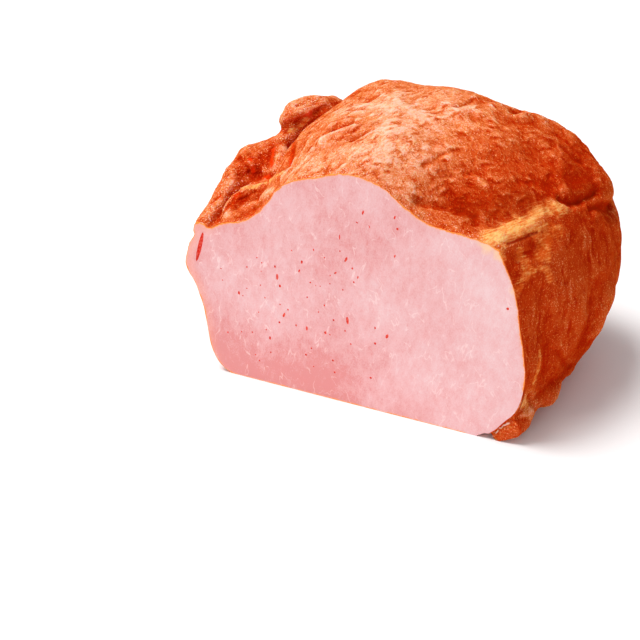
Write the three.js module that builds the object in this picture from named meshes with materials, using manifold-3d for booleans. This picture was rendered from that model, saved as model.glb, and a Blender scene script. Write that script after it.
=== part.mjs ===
// A smoked, cooked pork loaf with a wrinkled brown rind, sliced flat at its front end.
// One closed solid, in millimetres, +Z up, on its flat underside, with the cut face looking along -Y.
import * as THREE from "three";
import { ImprovedNoise } from "three/addons/math/ImprovedNoise.js";
import { mergeVertices } from "three/addons/utils/BufferGeometryUtils.js";
import Module from "manifold-3d";

// Distances along the loaf, from the knife cut at 0 towards the uncut end.
const MIDDLE_Y = 70; // where the loaf is fullest
const BACK_Y = 124; // the rounded, uncut end
const MISSING_LENGTH = 16; // stub in front of the cut, which the knife takes off
// Superellipse exponents of the ends: 2 is round, more is squarer.
const BACK_TOP_FULLNESS = 2.25;
const BACK_SIDE_FULLNESS = 2.9;
const FRONT_FULLNESS = 16;
const HEART = { x: 4, z: 54 }; // the loaf's middle line, which the uncut end closes on
const SURFACE_DETAIL = 23; // subdivisions of the icosahedron that becomes the loaf
const OUTLINE_START = 0.25; // of a turn: the outlines start at the underside, and a direction's angle at +X
const NEVER_ZERO = 1e-9; // keeps a share from being divided by nothing
const SAME_POINT = 1e-4; // points nearer than this are one

// Outline of the loaf at the knife cut, x and z, from the middle of the underside round by the right side.
const CUT_OUTLINE = [
  [0, -3], [45, -3], [66, 5], [74.5, 16], [78.5, 33], [75.5, 56], [70.5, 73.5], [62, 91.5],
  [46, 98], [25, 102], [14.5, 110], [-7, 113.5], [-25, 108.8], [-37.5, 102.5], [-46, 90.5],
  [-59.5, 82.5], [-73, 76], [-79.5, 64], [-82, 48], [-78.5, 22], [-71, 2], [-45, -3],
];

// The same outline at the loaf's fullest place.
const MIDDLE_OUTLINE = [
  [0, -3], [50, -3], [76, 0], [85, 12], [92, 31], [97, 50], [95.5, 72], [88.5, 91],
  [74.5, 106.5], [59, 115.5], [43, 121.5], [22, 126.5], [0, 129], [-20, 128], [-36, 123.5],
  [-47, 114.5], [-59, 101], [-70, 86], [-78, 70], [-82, 48], [-79, 24], [-70, 3], [-45, -3],
];

// Rolls and folds of rind that lie on the loaf: x, y, z and radius along each, from one end to the other.
const FOLDS = {
  // The long strand that climbs the left shoulder from the cut, and the lobe it ends in.
  shoulderStrand: [
    [-79, -6, 70, 3.4], [-78, 5, 75.5, 4.4], [-77.5, 16, 80, 5], [-76, 26, 85, 6.5],
    [-73, 34, 89, 9], [-70, 42, 91, 10], [-66, 50, 94, 8.5], [-62, 57, 97, 6.5],
  ],
  // The curled lip behind it.
  curledLip: [
    [-61.5, 58, 110, 5.4], [-59, 64, 111.5, 7], [-55.6, 70, 112, 7], [-52, 77, 111.5, 5.6],
    [-50, 86, 109, 5], [-51, 96, 102, 4.6], [-56, 104, 93, 3.6],
  ],
  // The neck that joins the two.
  neck: [[-63, 50, 99, 5], [-60, 58, 104, 4.6], [-57, 64, 107, 5], [-53, 72, 110, 4]],
  // Thinner strands in the valley between the shoulder and the dome.
  valleyStrand: [
    [-68, 7, 81, 3], [-66, 13, 85.5, 3.5], [-61, 18, 88, 3.8], [-55, 22, 90, 3.6], [-49, 26, 93, 3],
  ],
  wideningPleat: [[-49, 24, 91, 3.4], [-53, 32, 94, 4.4], [-57, 40, 97, 4.4], [-61, 48, 99.5, 3.8]],
  narrowPleat: [[-57, 26, 90, 3], [-61, 34, 93, 3.5], [-65, 42, 96, 3]],
  // The rolled edge under the right side.
  heelRoll: [
    [68, -4, 5, 5], [72, 4, 8.5, 6.5], [74.5, 11, 11, 7], [76, 19, 13, 5.5], [79, 28, 14, 7.5],
    [80, 40, 14, 6], [81, 56, 15, 7.5], [82, 70, 15, 6.5], [81, 82, 16, 6],
  ],
};
// The pocket that opens in the cut by its left edge: its middle line and half width, and how deep it goes.
const POCKET = [[-77.3, 0, 72.5, 0.5], [-78.9, 0, 67, 0.8], [-80.2, 0, 62, 0.9], [-81.6, 0, 57, 0.5]];
const POCKET_DEPTH_TO_WIDTH = 5;
const FOLD_SIDES = 12;
const FOLD_RING_STEP = 4; // distance between the rings of a fold
const FOLD_LEAST_RINGS = 4;
const FOLD_UNEVENNESS = 0.16; // share of its radius
const FOLD_LUMP_SPACING = 9;
const ROUND_END_DEGREES = [30, 60]; // where the rings of a fold's round end lie on their quarter circle

// Ridges and creases pressed into the rind: a height (below 0 is a crease), a width, and points along it.
const CREASES = [
  // The seam of fat along the right shoulder, with the crease under it and the deep one behind it.
  { height: 3, width: 5, points: [[61, 2, 95], [68, 12, 97], [75, 22, 98], [84, 35, 101]] },
  { height: -2.2, width: 3.5, points: [[67, 6, 88], [76, 18, 90], [86, 32, 92]] },
  { height: -5, width: 5, points: [[84, 37, 101], [90, 46, 97], [95, 58, 93], [95, 74, 88], [88, 92, 80]] },
  // The shelf that the left shoulder's folds lie on, and the valley between them and the dome.
  {
    height: 5,
    width: 9,
    points: [[-82, 22, 70], [-80, 32, 80], [-76, 46, 87], [-68, 62, 96], [-61, 76, 103]],
  },
  { height: -6, width: 7, points: [[-56, 8, 86], [-56, 22, 92], [-57, 36, 97], [-57, 50, 102]] },
  { height: -3, width: 4, points: [[-60, 50, 100], [-52, 60, 108], [-48, 74, 112], [-45, 88, 110]] },
  // The torn flap that stands out by the cut's left edge.
  { height: 8, width: 7, points: [[-80, 0, 66], [-82, 1, 59], [-82, 1, 54]] },
  // The hollow over the cut's right half.
  { height: -3, width: 9, points: [[16, 10, 112], [30, 14, 109], [46, 16, 106]] },
  // The tongue on top, and the crease in front of it.
  { height: 2.2, width: 4.5, points: [[12, 66, 130], [22, 64, 130], [32, 64, 129]] },
  { height: -2.4, width: 3, points: [[10, 58, 129], [20, 57, 129], [34, 59, 128]] },
  // Dents along the back of the top and across the uncut end.
  { height: -3, width: 6, points: [[46, 70, 124], [52, 76, 121], [60, 80, 116]] },
  {
    height: -4,
    width: 7,
    points: [[-30, 96, 104], [-8, 104, 96], [18, 106, 92], [44, 102, 90], [66, 94, 88]],
  },
  { height: -3.5, width: 6, points: [[-70, 80, 70], [-52, 100, 62], [-26, 114, 50], [-6, 119, 36]] },
  { height: -3, width: 6, points: [[30, 118, 62], [36, 117, 40], [50, 106, 22]] },
  // Sags down the left side, which nothing in front of it hides.
  { height: -3, width: 6, points: [[-82, 20, 66], [-84, 34, 50], [-82, 44, 30]] },
  { height: -2.5, width: 6, points: [[-82, 56, 76], [-84, 66, 54], [-80, 72, 30]] },
  // Shallow channels down the right side.
  { height: -1.8, width: 4, points: [[79, 12, 70], [84, 16, 46], [85, 18, 26]] },
  { height: -1.8, width: 5, points: [[92, 42, 78], [94, 46, 52], [90, 48, 32]] },
];

const CREASE_SAMPLES = 40; // places along a crease that a point's distance is taken from

// Unevenness of the whole surface: how high, and how far apart.
const LUMPS = [
  { height: 2.6, spacing: 46, shift: 3.1 },
  { height: 1.5, spacing: 21, shift: 11.7 },
  { height: 0.6, spacing: 11, shift: 27.3 },
];

const wasm = await Module();
wasm.setup();
const noise = new ImprovedNoise();

const outlineCurve = (points) =>
  new THREE.CatmullRomCurve3(
    points.map(([x, z]) => new THREE.Vector3(x, 0, z)),
    true,
  );
const cutCurve = outlineCurve(CUT_OUTLINE);
const middleCurve = outlineCurve(MIDDLE_OUTLINE);

const clamp01 = (value) => Math.min(1, Math.max(0, value));

// A point of the smooth loaf, for a direction from its centre.
function loafPoint(direction) {
  const turn = Math.atan2(direction.z, direction.x) / (2 * Math.PI);
  const share = (((turn + OUTLINE_START) % 1) + 1) % 1;
  const sine = clamp01(Math.abs(direction.y));
  let y, scale;
  if (direction.y > 0) {
    const upright = direction.z ** 2 / (direction.x ** 2 + direction.z ** 2 + NEVER_ZERO);
    const fullness = THREE.MathUtils.lerp(BACK_SIDE_FULLNESS, BACK_TOP_FULLNESS, upright);
    y = MIDDLE_Y + (BACK_Y - MIDDLE_Y) * sine ** (2 / fullness);
    scale = Math.sqrt(1 - sine * sine) ** (2 / fullness);
  } else {
    y = MIDDLE_Y - (MIDDLE_Y + MISSING_LENGTH) * sine;
    scale = (1 - sine ** FRONT_FULLNESS) ** (1 / FRONT_FULLNESS);
  }
  const growth = Math.sin((Math.PI / 2) * clamp01(y / MIDDLE_Y));
  const p = cutCurve.getPointAt(share).lerp(middleCurve.getPointAt(share), growth);
  return new THREE.Vector3(
    HEART.x + (p.x - HEART.x) * scale,
    y,
    HEART.z + (p.z - HEART.z) * scale,
  );
}

const creaseLines = CREASES.map(({ height, width, points }) => {
  const line = new THREE.CatmullRomCurve3(points.map((p) => new THREE.Vector3(...p)));
  return { height, width, samples: line.getSpacedPoints(CREASE_SAMPLES) };
});

// How far the rind stands above the smooth loaf at a point.
function relief(p) {
  let height = 0;
  for (const lump of LUMPS) {
    const at = p.clone().divideScalar(lump.spacing).addScalar(lump.shift);
    height += lump.height * noise.noise(at.x, at.y, at.z);
  }
  for (const crease of creaseLines) {
    let nearest = Infinity;
    for (const sample of crease.samples) nearest = Math.min(nearest, p.distanceToSquared(sample));
    height += crease.height * Math.exp(-nearest / crease.width ** 2);
  }
  return height;
}

// The loaf as one deformed icosahedron with shared vertices, its rind then raised and creased.
function loafGeometry() {
  const ball = new THREE.IcosahedronGeometry(1, SURFACE_DETAIL);
  ball.deleteAttribute("normal");
  ball.deleteAttribute("uv");
  const geometry = mergeVertices(ball, SAME_POINT);
  const position = geometry.getAttribute("position");
  const p = new THREE.Vector3();
  for (let i = 0; i < position.count; i++) {
    p.copy(loafPoint(p.fromBufferAttribute(position, i).normalize()));
    position.setXYZ(i, p.x, p.y, p.z);
  }
  geometry.computeVertexNormals();
  const normal = geometry.getAttribute("normal");
  const out = new THREE.Vector3();
  for (let i = 0; i < position.count; i++) {
    p.fromBufferAttribute(position, i);
    p.addScaledVector(out.fromBufferAttribute(normal, i), relief(p));
    position.setXYZ(i, p.x, p.y, p.z);
  }
  return geometry;
}

// A fold of rind: rings along a smooth line, with a round end each way.
function foldGeometry(stations) {
  const line = new THREE.CatmullRomCurve3(stations.map(([x, y, z]) => new THREE.Vector3(x, y, z)));
  const radii = new THREE.CatmullRomCurve3(stations.map((s, i) => new THREE.Vector3(i, s[3], 0)));
  const count = Math.max(FOLD_LEAST_RINGS, Math.round(line.getLength() / FOLD_RING_STEP));
  const frames = line.computeFrenetFrames(count, false);
  const rings = [];
  for (let i = 0; i <= count; i++) {
    const t = i / count;
    const along = line.getUtoTmapping(t);
    rings.push({ centre: line.getPointAt(t), radius: radii.getPoint(along).y, frame: i });
  }
  const roundEnd = (end, direction) =>
    ROUND_END_DEGREES.map((degrees) => {
      const angle = THREE.MathUtils.degToRad(degrees);
      const reach = direction * end.radius * Math.sin(angle);
      return {
        centre: end.centre.clone().addScaledVector(frames.tangents[end.frame], reach),
        radius: end.radius * Math.cos(angle),
        frame: end.frame,
      };
    });
  const first = rings[0];
  const last = rings[count];
  const all = [...roundEnd(first, -1).reverse(), ...rings, ...roundEnd(last, 1)];
  const positions = [];
  for (const ring of all) {
    for (let k = 0; k < FOLD_SIDES; k++) {
      const angle = (2 * Math.PI * k) / FOLD_SIDES;
      const side = frames.normals[ring.frame]
        .clone()
        .multiplyScalar(Math.cos(angle))
        .addScaledVector(frames.binormals[ring.frame], Math.sin(angle));
      const p = ring.centre.clone().addScaledVector(side, ring.radius);
      const at = p.divideScalar(FOLD_LUMP_SPACING);
      const uneven = 1 + FOLD_UNEVENNESS * 2 * noise.noise(at.x, at.y, at.z);
      positions.push(...ring.centre.clone().addScaledVector(side, ring.radius * uneven).toArray());
    }
  }
  const tip = (end, direction) =>
    end.centre.clone().addScaledVector(frames.tangents[end.frame], direction * end.radius);
  positions.push(...tip(first, -1).toArray(), ...tip(last, 1).toArray());
  const index = [];
  const corner = (ring, k) => ring * FOLD_SIDES + (k % FOLD_SIDES);
  for (let ring = 0; ring < all.length - 1; ring++) {
    for (let k = 0; k < FOLD_SIDES; k++) {
      index.push(corner(ring, k), corner(ring, k + 1), corner(ring + 1, k + 1));
      index.push(corner(ring, k), corner(ring + 1, k + 1), corner(ring + 1, k));
    }
  }
  const firstTip = all.length * FOLD_SIDES;
  for (let k = 0; k < FOLD_SIDES; k++) {
    index.push(firstTip, corner(0, k + 1), corner(0, k));
    index.push(firstTip + 1, corner(all.length - 1, k), corner(all.length - 1, k + 1));
  }
  const geometry = new THREE.BufferGeometry();
  geometry.setAttribute("position", new THREE.Float32BufferAttribute(positions, 3));
  geometry.setIndex(index);
  return geometry;
}

function solid(geometry) {
  const plain = geometry.clone();
  for (const name of ["normal", "uv"]) plain.deleteAttribute(name);
  const merged = mergeVertices(plain, SAME_POINT);
  return new wasm.Manifold(
    new wasm.Mesh({
      numProp: 3,
      vertProperties: new Float32Array(merged.getAttribute("position").array),
      triVerts: new Uint32Array(merged.index.array),
    }),
  );
}

function geometryOf(manifold) {
  const mesh = manifold.getMesh();
  const geometry = new THREE.BufferGeometry();
  geometry.setAttribute("position", new THREE.BufferAttribute(mesh.vertProperties, 3));
  geometry.setIndex(new THREE.BufferAttribute(mesh.triVerts, 1));
  geometry.computeVertexNormals();
  return geometry;
}

// Blocks that take away everything in front of the cut, and what is below the board.
const BLOCK = 400;
const inFront = new THREE.BoxGeometry(BLOCK, BLOCK, BLOCK).translate(0, -BLOCK / 2, 0);
const below = new THREE.BoxGeometry(BLOCK, BLOCK, BLOCK).translate(0, 0, -BLOCK / 2);

let loaf = solid(loafGeometry());
for (const stations of Object.values(FOLDS)) {
  const fold = solid(foldGeometry(stations));
  if (fold.volume() < 0) throw new Error("a fold is inside out");
  loaf = loaf.add(fold);
}
const pocket = solid(foldGeometry(POCKET).scale(1, POCKET_DEPTH_TO_WIDTH, 1));
loaf = loaf.subtract(solid(inFront)).subtract(solid(below)).subtract(pocket);

// The outer shell alone, so that no void is left sealed in between the folds and the loaf.
loaf = loaf.decompose().reduce((largest, shell) => (shell.volume() > largest.volume() ? shell : largest));

const geometry = geometryOf(loaf);
geometry.computeBoundingBox();
const box = geometry.boundingBox;
const centre = box.getCenter(new THREE.Vector3());

const rind = new THREE.MeshStandardMaterial({ color: 0xc8602a, roughness: 0.5, metalness: 0 });
const porkLoaf = new THREE.Mesh(geometry, rind);
porkLoaf.name = "pork_loaf";
porkLoaf.position.set(-centre.x, -centre.y, -box.min.z);

const group = new THREE.Group();
group.add(porkLoaf);

export default group;
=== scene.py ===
"""A smoked, cooked pork loaf with a wrinkled brown rind, sliced flat at one end."""

import math
import random

import bpy
import numpy as np
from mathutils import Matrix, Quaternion, Vector, kdtree


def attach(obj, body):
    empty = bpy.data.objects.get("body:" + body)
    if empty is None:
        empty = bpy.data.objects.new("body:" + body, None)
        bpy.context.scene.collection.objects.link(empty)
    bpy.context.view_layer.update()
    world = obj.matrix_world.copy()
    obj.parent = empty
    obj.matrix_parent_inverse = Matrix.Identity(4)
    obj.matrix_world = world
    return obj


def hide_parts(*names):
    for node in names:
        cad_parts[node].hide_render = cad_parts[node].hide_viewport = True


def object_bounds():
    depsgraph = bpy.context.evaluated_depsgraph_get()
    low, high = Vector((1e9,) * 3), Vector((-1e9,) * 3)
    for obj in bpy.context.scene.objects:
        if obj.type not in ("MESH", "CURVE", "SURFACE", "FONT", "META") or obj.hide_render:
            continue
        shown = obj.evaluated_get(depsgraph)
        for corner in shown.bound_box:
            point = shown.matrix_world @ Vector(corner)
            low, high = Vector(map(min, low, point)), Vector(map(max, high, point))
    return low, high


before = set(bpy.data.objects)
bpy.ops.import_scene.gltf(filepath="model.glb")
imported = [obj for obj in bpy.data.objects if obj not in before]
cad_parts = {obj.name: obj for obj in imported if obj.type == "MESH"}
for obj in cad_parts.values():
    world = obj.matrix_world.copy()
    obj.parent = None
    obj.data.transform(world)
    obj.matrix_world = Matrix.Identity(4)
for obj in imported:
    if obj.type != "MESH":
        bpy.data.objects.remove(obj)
cad_low, cad_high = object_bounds()

MM = 0.001

# Places on the loaf are written in millimetres from the middle of the knife cut, at the board's height:
# x to the right across the cut, y back from it, z up.
CUT_CENTRE = Vector((-5.06, cad_low.y / MM, 0))


def place(x, y, z):
    """A place on the loaf, in metres."""
    return (Vector((x, y, z)) + CUT_CENTRE) * MM


def places_of(piece):
    """The piece's vertices as places on the loaf, in millimetres."""
    flat = np.empty(len(piece.data.vertices) * 3)
    piece.data.vertices.foreach_get("co", flat)
    return flat.reshape(-1, 3) / MM - np.array(CUT_CENTRE)


def move_to(piece, places):
    """Moves the piece's vertices to places on the loaf."""
    piece.data.vertices.foreach_set("co", ((places + np.array(CUT_CENTRE)) * MM).ravel())
    piece.data.update()


def normals_of(piece):
    """The directions that the piece's vertices face."""
    flat = np.empty(len(piece.data.vertices) * 3)
    piece.data.vertices.foreach_get("normal", flat)
    return flat.reshape(-1, 3)


# Modelling steps

def work_on(piece):
    """Makes the piece the only selected and the active one."""
    bpy.ops.object.select_all(action="DESELECT")
    piece.select_set(True)
    bpy.context.view_layer.objects.active = piece


def finish_with(piece, kind, **settings):
    """Adds a modifier with its settings and applies it."""
    work_on(piece)
    modifier = piece.modifiers.new(kind.lower(), kind)
    for name, value in settings.items():
        setattr(modifier, name, value)
    bpy.ops.object.modifier_apply(modifier=modifier.name)


def extrude_faces(piece, chosen, offset):
    """Extrudes the faces that chosen picks by their centre and normal."""
    work_on(piece)
    bpy.ops.object.mode_set(mode="EDIT")
    bpy.ops.mesh.select_mode(type="FACE")
    bpy.ops.mesh.select_all(action="DESELECT")
    bpy.ops.object.mode_set(mode="OBJECT")
    for face in piece.data.polygons:
        face.select = chosen(face.center, face.normal)
    bpy.ops.object.mode_set(mode="EDIT")
    bpy.ops.mesh.extrude_region_move(TRANSFORM_OT_translate={"value": offset})
    bpy.ops.object.mode_set(mode="OBJECT")


def face_outwards(piece):
    work_on(piece)
    bpy.ops.object.mode_set(mode="EDIT")
    bpy.ops.mesh.select_all(action="SELECT")
    bpy.ops.mesh.normals_make_consistent(inside=False)
    bpy.ops.object.mode_set(mode="OBJECT")


def cut_away(piece, cutter):
    finish_with(
        piece,
        "BOOLEAN",
        operation="DIFFERENCE",
        solver="MANIFOLD",
        object=cutter,
        material_mode="TRANSFER",
    )
    bpy.data.objects.remove(cutter)


WEIGHT_STEPS = 20


def paint_mask(piece, name, weights):
    """A vertex group from one weight, 0 to 1, for each vertex."""
    group = piece.vertex_groups.new(name=name)
    steps = np.rint(np.clip(weights, 0, 1) * WEIGHT_STEPS).astype(int)
    for step in range(1, WEIGHT_STEPS + 1):
        group.add(np.flatnonzero(steps == step).tolist(), step / WEIGHT_STEPS, "REPLACE")
    return name


# Middle and spread of what a texture gives: soft lumps, and bulges with sharp creases between them
SOFT = (0.5, 0.42)
SHARP = (0.29, 0.5)


def roughen(piece, name, height, size, turn=(0, 0, 0), mask="", creased=False, depth=1):
    """Raises and sinks the surface by height millimetres in grains of size millimetres each way."""
    texture = bpy.data.textures.new(name, "CLOUDS")
    texture.noise_scale = 1
    texture.noise_depth = depth
    texture.noise_type = "HARD_NOISE" if creased else "SOFT_NOISE"
    middle, spread = SHARP if creased else SOFT
    bpy.ops.object.empty_add(location=place(0, 0, 0), rotation=[math.radians(a) for a in turn])
    grain = bpy.context.object
    grain.scale = Vector(size) * MM
    bpy.context.view_layer.update()
    finish_with(
        piece,
        "DISPLACE",
        texture=texture,
        texture_coords="OBJECT",
        texture_coords_object=grain,
        strength=height / spread * MM,
        mid_level=middle,
        vertex_group=mask,
    )
    bpy.data.objects.remove(grain)


NEVER_ZERO = 1e-9  # keeps a share from being divided by nothing


def nearness(places, line, width):
    """1 on a line of places, falling away over about a width each side."""
    nearest = np.full(len(places), np.inf)
    corners = [np.array(corner, float) for corner in line]
    for start, end in zip(corners, corners[1:] or corners):
        along = end - start
        share = np.clip(((places - start) @ along) / max(along @ along, NEVER_ZERO), 0, 1)
        nearest = np.minimum(nearest, np.linalg.norm(places - start - share[:, None] * along, axis=1))
    return np.exp(-((nearest / width) ** 2))


def ramp(values, low, high):
    """0 below low and 1 above high, with a smooth rise between."""
    share = np.clip((values - low) / (high - low), 0, 1)
    return share * share * (3 - 2 * share)


def fall(values, low, high):
    """1 below low and 0 above high, with a smooth fall between."""
    return ramp(-values, -high, -low)


def mark(piece, name, values):
    """A value for each vertex that a material can read."""
    attribute = piece.data.attributes.new(name, "FLOAT", "POINT")
    attribute.data.foreach_set("value", np.asarray(values, np.float32))


# Materials

def linear(red, green, blue):
    """A colour from its 0 to 255 values on a screen, as the shader takes it."""
    return tuple(
        c / 12.92 if c <= 0.04045 else ((c + 0.055) / 1.055) ** 2.4
        for c in (red / 255, green / 255, blue / 255)
    ) + (1,)


class Wire:
    """A socket that can be used in an expression."""

    def __init__(self, surface, socket):
        self.surface = surface
        self.socket = socket

    def math(self, operation, first, second):
        settings = {"operation": operation}
        return self.surface.node("ShaderNodeMath", settings, Value=first, Value_001=second)

    def __add__(self, other):
        return self.math("ADD", self, other)

    __radd__ = __add__

    def __sub__(self, other):
        return self.math("SUBTRACT", self, other)

    def __rsub__(self, other):
        return self.math("SUBTRACT", other, self)

    def __mul__(self, other):
        return self.math("MULTIPLY", self, other)

    __rmul__ = __mul__

    def __abs__(self):
        return self.math("ABSOLUTE", self, 0)


class Surface:
    """One material and the nodes that make it."""

    def __init__(self, name):
        self.material = bpy.data.materials.new(name)
        self.material.use_nodes = True
        self.tree = self.material.node_tree
        self.shader = self.tree.nodes["Principled BSDF"]
        self.places = self.node("ShaderNodeTexCoord", out="Object")

    def node(self, kind, settings=None, out=0, **values):
        """Adds a node; its settings come first, then the values or links of its sockets."""
        made = self.tree.nodes.new(kind)
        settings = dict(settings or {})
        stops = settings.pop("stops", None)
        for name, value in settings.items():
            setattr(made, name, value)
        if stops:
            while len(made.color_ramp.elements) < len(stops):
                made.color_ramp.elements.new(1)
            for element, (position, colour) in zip(made.color_ramp.elements, stops):
                element.position = position
                element.color = colour
        sockets = {socket.identifier: socket for socket in made.inputs}
        for name, value in values.items():
            socket = sockets.get(name) or made.inputs[name.replace("_", " ")]
            if isinstance(value, Wire):
                self.tree.links.new(value.socket, socket)
            else:
                socket.default_value = value
        outputs = {socket.identifier: socket for socket in made.outputs}
        return Wire(self, outputs[out] if out in outputs else made.outputs[out])

    def stretched(self, size, turn=(0, 0, 0)):
        """Places in grains of size millimetres each way, turned by degrees."""
        return self.node(
            "ShaderNodeMapping",
            {"vector_type": "TEXTURE"},
            Vector=self.places,
            Rotation=[math.radians(a) for a in turn],
            Scale=[s * MM for s in size],
        )

    def noise(self, size, turn=(0, 0, 0), detail=2.0, roughness=0.5, distortion=0.0):
        """A noise around 0.5 whose grains are size millimetres each way."""
        return self.node(
            "ShaderNodeTexNoise",
            Vector=self.stretched(size, turn),
            Scale=1.0,
            Detail=detail,
            Roughness=roughness,
            Distortion=distortion,
        )

    def sides(self):
        """The three coordinates of a place, in metres."""
        apart = self.node("ShaderNodeSeparateXYZ", out="X", Vector=self.places)
        return [Wire(self, socket) for socket in apart.socket.node.outputs]

    def value(self, name):
        return self.node("ShaderNodeAttribute", {"attribute_name": name}, out="Fac")

    def rise(self, value, low, high):
        """0 below low and 1 above high."""
        settings = {"interpolation_type": "SMOOTHSTEP"}
        return self.node("ShaderNodeMapRange", settings, Value=value, From_Min=low, From_Max=high)

    def mixed(self, share, first, second):
        """A colour between first and second."""
        return self.node(
            "ShaderNodeMix",
            {"data_type": "RGBA"},
            out="Result_Color",
            Factor_Float=share,
            A_Color=first,
            B_Color=second,
        )

    def shades(self, value, stops):
        return self.node("ShaderNodeValToRGB", {"stops": stops}, out="Color", Fac=value)

    def finish(self, **sockets):
        """Links or sets the shader's own sockets."""
        for name, value in sockets.items():
            socket = self.shader.inputs[name.replace("_", " ")]
            if isinstance(value, Wire):
                self.tree.links.new(value.socket, socket)
            else:
                socket.default_value = value
        return self.material


# How the meat's fibres run on the left and on the right of the top, in degrees about each axis
ALONG_LEFT = (0, 0, 62)
ALONG_RIGHT = (0, 12, -28)


def smoked_rind():
    """The crust, with fat, painted deep red shade in its creases, pale gristle and painted highlights where
    the marks say.
    """
    rind = Surface("smoked_rind")
    across = rind.sides()[0]
    hollow = rind.value("hollow")
    side = rind.value("side")
    flake = rind.value("flake")
    painted_glints = rind.value("painted_glints")
    deeper = rind.value("tone")
    calm = 1 - side * 0.5

    clouds = rind.noise((22, 22, 22), detail=2)
    blotches = rind.noise((5, 5, 5), detail=3, roughness=0.6)
    rightward = rind.rise(across, -0.015, 0.035)

    def strands(length, width):
        """Noise drawn out along the meat's fibres, which run one way on the left, another on the right."""
        grains = (length, width, width)
        left = rind.noise(grains, turn=ALONG_LEFT, detail=2, roughness=0.6, distortion=0.7)
        right = rind.noise(grains, turn=ALONG_RIGHT, detail=2, roughness=0.6, distortion=0.7)
        down = rind.noise((width, width, 2 * length), detail=2, roughness=0.6, distortion=0.4)
        over = left + rightward * (right - left)
        return over + side * (down - over)

    fibres = strands(2.8, 0.9)
    folds = strands(6.0, 2.4)
    lines = strands(4.0, 1.5)
    grain = rind.noise((0.7, 0.7, 0.7), detail=1, roughness=0.6)
    breaks = rind.noise((6, 6, 6), detail=1)

    crease = rind.rise(abs(folds - 0.5), 0.05, 0.01) * rind.rise(breaks, 0.45, 0.62)
    stroke = rind.rise(abs(lines - 0.52), 0.05, 0.01)
    stroke = stroke * rind.rise(breaks + (grain - 0.5) * 0.8, 0.6, 0.42)
    dots = rind.rise(grain, 0.56, 0.68)

    brushed = rind.noise((5, 0.8, 0.8), turn=(0, 0, 60), detail=2, roughness=0.6, distortion=0.4)
    tone = (
        0.4
        # paler and deeper places that the marks give, many of them painted light and shade
        + deeper
        # the dome's right and the sides a deeper red: partly their own colour, partly painted shade
        - rind.rise(across, 0.0, 0.06) * (1 - side) * 0.06
        - side * 0.24
        + (clouds - 0.5) * 0.32
        + (blotches - 0.5) * 0.35 * calm
        + (fibres - 0.5) * 0.5 * calm
        + (folds - 0.5) * 0.2 * calm
        + stroke * 0.22 * calm
        # pale specks, partly the rind's own and partly painted glints, more of them on the wet places
        + dots * (0.36 + painted_glints * 0.3)
        # painted shade along the creases
        - crease * 0.26 * calm
        # painted highlights along the flakes' edges and painted shadow under them
        + flake * 0.3
        # painted shade in hollows, and painted light on raised places
        - hollow * 0.4
    )
    crust = rind.shades(
        tone,
        [
            (0.0, linear(184, 33, 3)),
            (0.2, linear(200, 56, 9)),
            (0.4, linear(211, 81, 28)),
            (0.6, linear(231, 120, 64)),
            (0.8, linear(246, 157, 112)),
            (1.0, linear(252, 196, 168)),
        ],
    )
    tan = rind.shades(
        # deeper on the sides, partly their own colour and partly painted shade, and painted shade in hollows
        0.5 + deeper * 0.8 + (brushed - 0.5) * 2.2 + (grain - 0.5) * 0.6 - side * 0.35 - hollow * 0.4,
        [(0.1, linear(236, 98, 28)), (0.5, linear(255, 158, 80)), (0.9, linear(255, 198, 122))],
    )
    fatty = rind.value("fat") + (blotches - 0.5) * (1.0 + side) + (brushed - 0.5) * 0.8
    colour = rind.mixed(rind.rise(fatty, 0.25, 1.0) * (0.95 - side * 0.2), crust, tan)
    # Painted shade in the creases: a deep red, darker on the right of the loaf, where less light falls
    crease_shaded = rind.value("crease_shade") + (blotches - 0.5) * 0.5 + (grain - 0.5) * 0.5
    crease_shaded = rind.rise(crease_shaded, 0.25, 0.9)
    crease_shade_red = rind.mixed(rightward, linear(238, 58, 8), linear(156, 26, 4))
    colour = rind.mixed(crease_shaded * 0.9, colour, crease_shade_red)
    # painted shade in the hollow over the cut's right half
    colour = rind.mixed(rind.value("shade_over_cut") * 0.35, colour, linear(122, 40, 6))
    # pale gristle, and painted highlights on the folds of the left shoulder and on the heel's end
    whitish = rind.rise(rind.value("gristle_and_highlights") + (grain - 0.5) * 0.8, 0.4, 0.8)
    colour = rind.mixed(whitish, colour, linear(250, 208, 190))
    rim = rind.rise(rind.value("rim") + (blotches - 0.5) * 1.4, 0.5, 0.0)
    colour = rind.mixed(rim * (1 - side * 0.8) * (1 - crease_shaded), colour, linear(255, 164, 78))

    shape = fibres + folds * 0.8 + grain * 0.9 + stroke * 0.15 - crease * 0.4
    bump = rind.node("ShaderNodeBump", out="Normal", Height=shape, Strength=1.0, Distance=0.8 * MM)
    return rind.finish(
        Base_Color=colour,
        Roughness=0.5 + (blotches - 0.5) * 0.4 + side * 0.25,
        Normal=bump,
        Specular_IOR_Level=0.0,
        Subsurface_Weight=0.7,
        Subsurface_Radius=(1.0, 0.3, 0.12),
        Subsurface_Scale=3.0 * MM,
    )


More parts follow.
